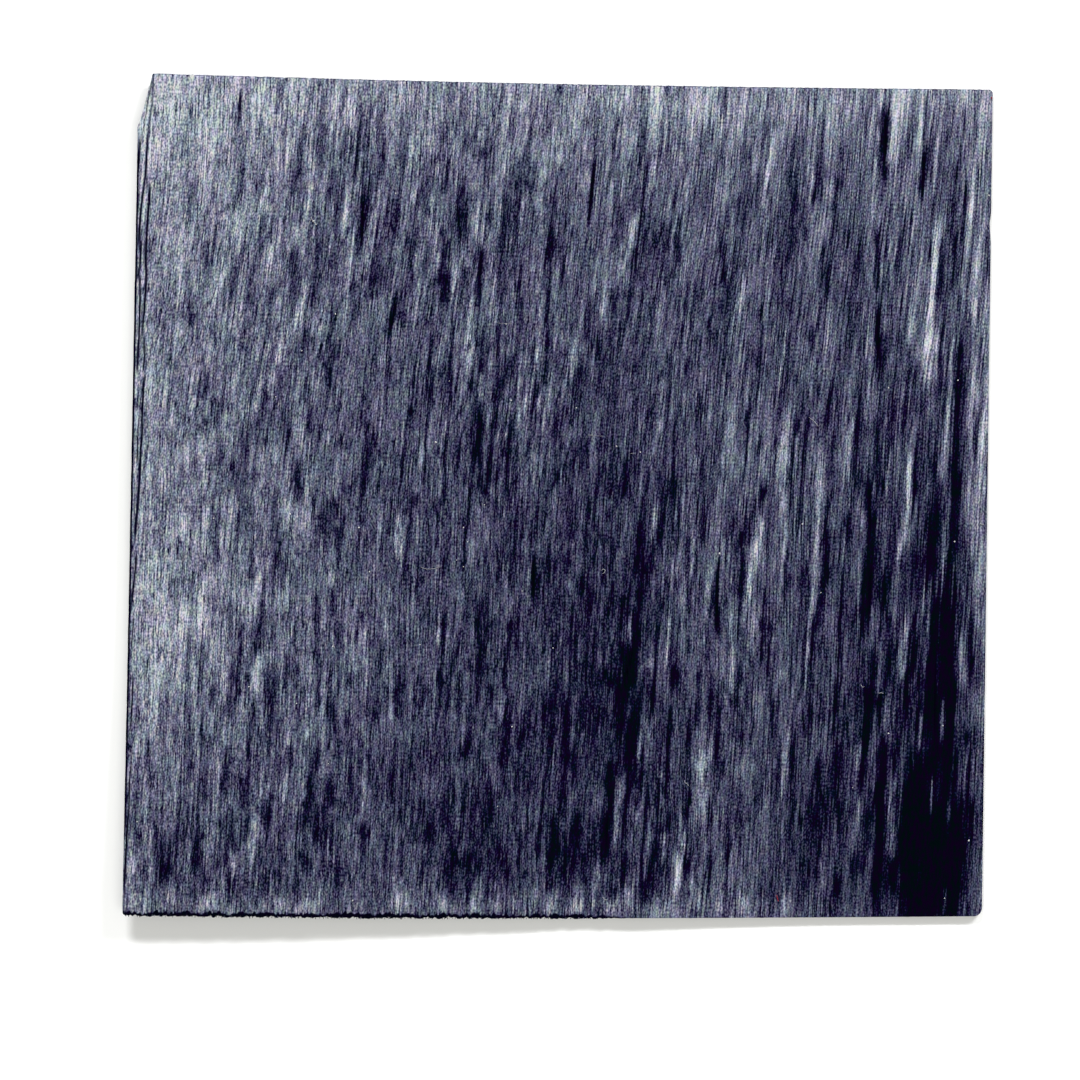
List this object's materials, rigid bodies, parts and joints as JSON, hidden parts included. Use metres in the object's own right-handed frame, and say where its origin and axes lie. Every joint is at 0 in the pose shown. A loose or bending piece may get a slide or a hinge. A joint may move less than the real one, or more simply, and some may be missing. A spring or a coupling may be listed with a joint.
{
  "type": "dyed wood veneer",
  "caption": "Thin near-square sheet of blue-black dyed wood veneer, slightly curled, with a splintered left edge and a torn bottom edge.",
  "frame": {"origin": "under the middle of the sheet's box, on the surface that the sheet lies on", "axes": "+Z out of the sanded face, +Y along the grain towards the end with the broken corner, +X away from the splintered edge"},
  "size_m": [0.104, 0.101, 0.0022],
  "materials": {
    "dyed_wood": "sanded matt, open grain, dyed blue-black with paler streaks"
  },
  "bodies": {
    "root": {"veneer_sheet": "dyed_wood"}
  },
  "joints": []
}
